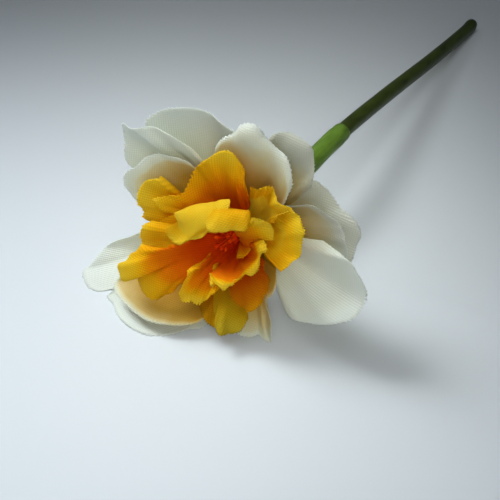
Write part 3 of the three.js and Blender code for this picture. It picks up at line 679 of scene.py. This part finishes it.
def cloth_mesh(name, shape, shown, cloth, reach, t):
    bm = bmesh.new()
    bmesh.ops.create_grid(bm, x_segments=ACROSS, y_segments=ALONG, size=0.5)
    uv = bm.loops.layers.uv.new("flat_cloth")
    place = bm.verts.layers.float_color.new("place")
    cells = {}
    for vert in bm.verts:
        cell = grid_cell(vert, ACROSS, ALONG)
        cells[vert.index] = cell
        vert.co = Vector(shown[cell]) * MM
        rim_share = min(max((t[cell] - shape["lip"]) / LIP_FADE, 0.0), 1.0)
        # The middle's dark colour runs further out by a share that is partly real dye and partly painted
        # shade and painted yellow light; beyond the lip a painted highlight lightens the rim.
        out = reach[cell] / reach.max() - shape["dye_and_shade"] * (1 - rim_share) + RIM_PAINTED_HIGHLIGHT * rim_share
        # The alpha holds the petal's painted shade, which darkens all of it.
        vert[place] = (min(max(out, 0.0), 1.0), 0.0, 0.0, shape["painted_shade"])
    # The petals of a ring are cut in one piece, so the threads cross each of them at its own angle.
    grain = math.radians(shape["turn"])
    turned = np.array([[math.cos(grain), -math.sin(grain)], [math.sin(grain), math.cos(grain)]])
    threads = cloth @ turned / UV_UNIT_MM
    cut_area = 0.0
    for face in bm.faces:
        face.smooth = True
        for loop in face.loops:
            loop[uv].uv = threads[cells[loop.vert.index]]
        corners = [cloth[cells[vert.index]] for vert in face.verts]
        nexts = corners[1:] + corners[:1]
        cut_area += abs(sum(p[0] * q[1] - q[0] * p[1] for p, q in zip(corners, nexts))) / 2
    mesh = bpy.data.meshes.new(name)
    bm.to_mesh(mesh)
    bm.free()
    return mesh, cut_area


# %% One petal in its place
def put_in_scene(name, mesh, material, cad_node):
    piece = bpy.data.objects.new(name, mesh)
    bpy.context.scene.collection.objects.link(piece)
    mesh.materials.append(material)
    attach(piece, "root")
    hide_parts(cad_node)
    return piece


def sheet_piece(name, cad_node, slot, material, shape, root, below, beside):
    s, t = np.meshgrid(np.linspace(0, 1, ACROSS + 1), np.linspace(0, 1, ALONG + 1))
    points = laid(shape, root, below, beside, s, t)
    cloth, reach = laid_flat(points, root[0])
    seed = sum(map(ord, name))
    shown = frayed(crinkled(points, s, t, seed, CRINKLE[slot] * shape["crinkle"]), s[0])
    shown[..., 2] = np.maximum(shown[..., 2], THICKNESS / 2)
    mesh, cut_area = cloth_mesh(name, shape, shown, cloth, reach, t)
    piece = put_in_scene(name, mesh, material, cad_node)
    wall = piece.modifiers.new("cloth thickness", "SOLIDIFY")
    wall.thickness = THICKNESS * MM
    wall.offset = 0
    return points.reshape(-1, 3)


# %% [markdown]
# ## The rings
# The rings go on the stud from the back to the middle, as they do in the workshop, so each one is
# laid on the pile that the ones before it made. Within a ring the petals lie beside each other. Only
# the innermost lobes fold over one another, so they aren't kept side by side.

# %% The rings, from the back to the middle
WHITE, YELLOW = ("white_fabric", white_cloth), ("yellow_fabric", yellow_cloth)
RINGS = [
    ("back_petal", "back_middle", "back_petals", WHITE, BACK_PETALS, True),
    ("front_petal", "front_middle", "front_petals", WHITE, FRONT_PETALS, True),
    ("outer_lobe", "outer_middle", "outer_frill", YELLOW, OUTER_FRILL, True),
    ("middle_lobe", "middle_middle", "middle_frill", YELLOW, MIDDLE_FRILL, True),
    ("inner_lobe", "inner_middle", "inner_frill", YELLOW, INNER_FRILL, False),
]
pile = Pile()
for place, (name, _, cad_node, (slot, cloth), petals, side_by_side) in enumerate(RINGS):
    root = (RING_RADII[place] - ROOT_OVERLAP, place * (RING_HEIGHT + RING_GAP) + RING_HEIGHT / 2)
    beside = Pile() if side_by_side else None
    placed = []
    for k, petal in enumerate(petals):
        points = sheet_piece(f"{name}_{k + 1}", cad_node, slot, cloth, {**PLAIN, **petal},
                             root, pile, beside)
        if beside is not None:
            beside.lay(points)
        placed.append(points)
    pile.lay(np.concatenate(placed))


# %% [markdown]
# ## Round pieces
# Stem, sleeve, stud and stamens are round along a bent line. A curve with a bevel could make them too,
# but its rows and its closed ends are harder to steer. A flat grid that is rolled up round the line
# takes any radius at any row, and bmesh's own operators sew its seam and close its ends.

# %% Rolling up a grid
SEAM_MERGE = 1e-6


def rolled_tube(name, centres, radii, cad_node, material, sides=40):
    rows = len(centres) - 1
    ahead = np.gradient(centres, axis=0)
    ahead /= np.linalg.norm(ahead, axis=1)[:, None]
    right = np.array([1.0, 0, 0]) - ahead[:, :1] * ahead
    right /= np.linalg.norm(right, axis=1)[:, None]
    over = np.cross(ahead, right)
    bm = bmesh.new()
    bmesh.ops.create_grid(bm, x_segments=sides, y_segments=rows, size=0.5)
    for vert in bm.verts:
        j, i = grid_cell(vert, sides, rows)
        turn = 2 * math.pi * i / sides
        spot = centres[j] + radii[j] * (math.cos(turn) * right[j] + math.sin(turn) * over[j])
        vert.co = Vector((spot[0], spot[1], max(spot[2], 0.0))) * MM
    bmesh.ops.remove_doubles(bm, verts=bm.verts, dist=SEAM_MERGE)
    bmesh.ops.holes_fill(bm, edges=bm.edges, sides=sides)
    bmesh.ops.recalc_face_normals(bm, faces=bm.faces)
    for face in bm.faces:
        face.smooth = len(face.verts) == 4
    mesh = bpy.data.meshes.new(name)
    bm.to_mesh(mesh)
    bm.free()
    put_in_scene(name, mesh, material, cad_node)


# %% [markdown]
# ## Green plastic
# The stem is a steel wire pulled through soft green polyethylene, and the sleeve is moulded from a
# paler one. Both are even in colour, but never quite: the coat is thinner in places and slightly
# rough. A noise that is stretched along the stem gives the colour and the relief together.

# %% Plastic material
def moulded_plastic(name, deep, light, roughness, shine, grain_mm, relief_mm):
    material = empty_material(name)
    tree = material.node_tree
    place = node(tree, "ShaderNodeTexCoord").outputs["Object"]
    # The coat is drawn over the wire lengthways, so its unevenness is stretched along the stem.
    drawn = node(tree, "ShaderNodeMapping", {"Vector": place, "Scale": (1.0, 0.25, 1.0)})
    grain = node(tree, "ShaderNodeTexNoise", {
        "Vector": drawn.outputs["Vector"], "Scale": 1.0 / (grain_mm * MM), "Detail": 4.0})
    colour = ramp(tree, grain.outputs["Fac"], [(0.3, deep), (0.7, light)])
    bump = node(tree, "ShaderNodeBump", {
        "Height": grain.outputs["Fac"], "Strength": 0.5, "Distance": relief_mm * MM})
    coat = node(tree, "ShaderNodeBsdfPrincipled", {
        "Base Color": colour, "Roughness": roughness, "Normal": bump.outputs["Normal"],
        "Specular IOR Level": shine, "IOR": 1.5})
    node(tree, "ShaderNodeOutputMaterial", {"Surface": coat.outputs["BSDF"]})
    return material


# %% Finishes of stem, sleeve, wire and tuft
stem_plastic = moulded_plastic(
    "dark_green_pulled_polyethylene", "#262f0b", "#3b4916",
    roughness=0.42, shine=0.4, grain_mm=2.2, relief_mm=0.15)
sleeve_plastic = moulded_plastic(
    "light_green_moulded_polyethylene", "#466419", "#688b30",
    roughness=0.5, shine=0.4, grain_mm=1.8, relief_mm=0.12)
wire_steel = moulded_plastic(
    "cut_steel_wire", "#6a6a66", "#8b8a84", roughness=0.4, shine=0.5, grain_mm=0.4, relief_mm=0.02)
tuft_finish = moulded_plastic(
    "orange_moulded_stamens", "#b81e00", "#d84400",
    roughness=0.9, shine=0.05, grain_mm=1.0, relief_mm=0.05)
print("plain finishes:", [m.name for m in (stem_plastic, sleeve_plastic, wire_steel, tuft_finish)])


# %% [markdown]
# ## Stem and sleeve
# The stem lies on the table at its cut end and rises to the flower. The sleeve slips over its end
# with a small step and swells into the calyx. One smooth line through both keeps them in one run, as
# on the real thing, and each takes its own stretch of it.

# %% Stem and sleeve
LINE_STEPS = 400
SLEEVE_START, STEM_IN_SLEEVE = -108.0, 3.0
STEM_RADIUS, SLEEVE_RADIUS, WIRE_RADIUS = 2.4, 2.95, 0.7
COAT_PRESSED, MOUTH_ROUNDED = 0.25, 0.15
LINE_FROM_FOOT = [[0, 0, 2.25], [0, -8, 2.25], [0, -40, 6.6], [0, -75, 12.4], [0, SLEEVE_START, 17.0],
                  [0, -130, 17.6]]
LINE_ON_AXIS = (-9.5, -7.0, -0.4)
# The sleeve's radius at distances from the calyx's top, in millimetres.
SLEEVE_DISTANCES = [0, 1.7, 3.5, 5.8, 8.2, 40, 47, 47.6]
SLEEVE_RADII = [4.6, 5.45, 4.9, 3.5, SLEEVE_RADIUS, SLEEVE_RADIUS, 3.05, 2.9]

way = np.vstack([FOOT + np.array(LINE_FROM_FOOT), on_axis(*LINE_ON_AXIS)])
line = smooth_line(way, np.linspace(0, 1, LINE_STEPS))
stem_line = line[line[:, 1] >= FOOT[1] + SLEEVE_START - STEM_IN_SLEEVE][::4]
stem_radii = np.full(len(stem_line), STEM_RADIUS)
# The cutter leaves the coat's end a little pressed in, and the sleeve's mouth is rounded.
stem_radii[0] = STEM_RADIUS - COAT_PRESSED
rolled_tube("stem_coat", stem_line, stem_radii, "stem", stem_plastic)
core = FOOT + np.array([[0, 0.25, 2.25], [0, -1, 2.25], [0, -2, 2.25]])
rolled_tube("stem_wire", core, np.full(3, WIRE_RADIUS), "stem", wire_steel, sides=20)

sleeve_line = line[line[:, 1] <= FOOT[1] + SLEEVE_START][::2]
from_top = np.linalg.norm(sleeve_line - way[-1], axis=1)
sleeve_radii = np.interp(from_top, SLEEVE_DISTANCES, SLEEVE_RADII)
sleeve_radii[0] = SLEEVE_RADIUS - MOUTH_ROUNDED
rolled_tube("sleeve", sleeve_line, sleeve_radii, "calyx_sleeve", sleeve_plastic)
print("stem and sleeve rows:", len(stem_line), len(sleeve_line))
print("the sleeve is", from_top.max().round(1), "mm long")


# %% [markdown]
# ## The middle
# A stud on the calyx carries the rings, and each ring has a small disc of glued cloth round it. They
# hardly show, but they hold the flower together, so nothing hangs in the air. The stamens are a
# moulded tuft: a cap with thin filaments that end in knobs. Each is a short tube of few sides.

# %% The stud and the middles of the rings
STUD_RADIUS = 0.8
rolled_tube("stud", on_axis(-0.6, 3.0, 9.0), np.full(3, STUD_RADIUS),
            "calyx_sleeve", sleeve_plastic, sides=16)
for place, (_, name, cad_node, (slot, cloth), _, _) in enumerate(RINGS):
    low = place * (RING_HEIGHT + RING_GAP)
    disc = on_axis(low, low + 0.5 * RING_HEIGHT, low + RING_HEIGHT)
    rolled_tube(name, disc, np.full(3, RING_RADII[place]), cad_node, cloth)
print("the rings' middles reach", low + RING_HEIGHT, "mm up the stud")

# %% The stamens
TUFT_RADIUS, TUFT_HEIGHT = 1.7, 2.6
STAMENS, FIRST_TURN = 8, 11
STAMEN_RADIUS, KNOB_RADIUS, KNOB_START = 0.24, 0.55, 0.8
# They stand in a circle on the cap, sunk in a little, lean out by one of three amounts and end at one
# of four heights.
CIRCLE, SUNK = 0.8, 0.6
LEAN, LEAN_STEP = 1.2, 0.5
LENGTH, LENGTH_STEP = 4.0, 0.7
tuft_low = len(RINGS) * (RING_HEIGHT + RING_GAP)
rolled_tube("tuft_cap", on_axis(tuft_low, tuft_low + 1.6, tuft_low + TUFT_HEIGHT),
            np.array([TUFT_RADIUS, 1.6, 1.0]), "stamens", tuft_finish, sides=24)
share = np.linspace(0, 1, 12)
for k in range(STAMENS):
    turn = math.radians(360 / STAMENS * k + FIRST_TURN)
    out = CIRCLE + (LEAN + LEAN_STEP * (k % 3)) * share ** 2
    high = tuft_low + TUFT_HEIGHT - SUNK + share * (LENGTH + LENGTH_STEP * ((k * 5) % 4))
    thread = to_frame(np.stack([out * math.cos(turn), out * math.sin(turn), high], axis=-1))
    thick = np.where(share > KNOB_START, KNOB_RADIUS, STAMEN_RADIUS) * np.where(share == 1, 0.4, 1)
    rolled_tube(f"stamen_{k + 1}", thread, thick, "stamens", tuft_finish, sides=10)
print("stamens:", STAMENS, "on a cap", round(tuft_low, 1), "mm over the base")


# %% [markdown]
# ## The table
# The flower lies on a pale table. It is a stage and no part of the flower, so it stays a plain sheet
# in one pale, matt colour, wide enough to fill the picture from every side.

# %% Floor
FLOOR_SIZE = 1.5
bm = bmesh.new()
bmesh.ops.create_grid(bm, x_segments=1, y_segments=1, size=FLOOR_SIZE)
floor_mesh = bpy.data.meshes.new("floor")
bm.to_mesh(floor_mesh)
bm.free()
floor = bpy.data.objects.new("floor", floor_mesh)
bpy.context.scene.collection.objects.link(floor)
pale = bpy.data.materials.new("pale_floor")
pale.use_nodes = True
pale.node_tree.nodes["Principled BSDF"].inputs["Base Color"].default_value = linear("#c6ced2")
pale.node_tree.nodes["Principled BSDF"].inputs["Roughness"].default_value = 0.9
floor_mesh.materials.append(pale)
print("floor:", FLOOR_SIZE * 2, "m wide")


# %% [markdown]
# ## The light
# In the photo the light is soft and comes mostly from above. A sky picture could give that, but area
# lights are plain and easy to aim. A wide one hangs over the flower, and weaker ones stand for the
# white walls on its left and in front, which lift the shadows there. A last, warm one in front
# brightens the frill a little.

# %% Light
right_of_view = Vector((math.cos(AZIMUTH), math.sin(AZIMUTH), 0))
away = Vector((-math.sin(AZIMUTH), math.cos(AZIMUTH), 0))
up = Vector((0, 0, 1))
middle = Vector(BASE) * MM
COOL_WHITE, WHITE_LIGHT, WARM_WHITE = "#f8fbff", "#ffffff", "#fffaf0"


def around_flower(right, back, high):
    """A place so many metres to the right of the flower, behind it and over it, seen as in the photo."""
    return middle + right * right_of_view + back * away + high * up


def soft_light(name, place, aim_at, size, spread, power, colour):
    data = bpy.data.lights.new(name, "AREA")
    data.size = size
    data.spread = math.radians(spread)
    data.energy = power
    data.color = linear(colour)[:3]
    light = bpy.data.objects.new(name, data)
    light.location = place
    light.rotation_euler = (place - aim_at).to_track_quat("Z", "Y").to_euler()
    bpy.context.scene.collection.objects.link(light)


soft_light("overhead", around_flower(-0.05, -0.05, 0.50), around_flower(0, 0, -0.018),
           size=0.35, spread=180, power=0.68, colour=COOL_WHITE)
soft_light("left_wall", around_flower(-0.25, 0.15, 0.30), around_flower(-0.04, -0.08, -0.018),
           size=0.15, spread=55, power=0.25, colour=COOL_WHITE)
soft_light("front_wall", around_flower(-0.03, -0.32, 0.10), around_flower(0, 0, 0),
           size=0.12, spread=30, power=0.007, colour=WHITE_LIGHT)
soft_light("lamp", around_flower(0.02, -0.30, 0.30), around_flower(0.01, 0.01, 0),
           size=0.12, spread=18, power=0.024, colour=WARM_WHITE)
world = bpy.data.worlds.new("room light")
bpy.context.scene.world = world
world.use_nodes = True
world.node_tree.nodes["Background"].inputs["Color"].default_value = linear("#e6ecf2")
world.node_tree.nodes["Background"].inputs["Strength"].default_value = 0.05
bpy.context.scene.view_settings.view_transform = "Standard"
print("lights:", [light.name for light in bpy.data.lights])
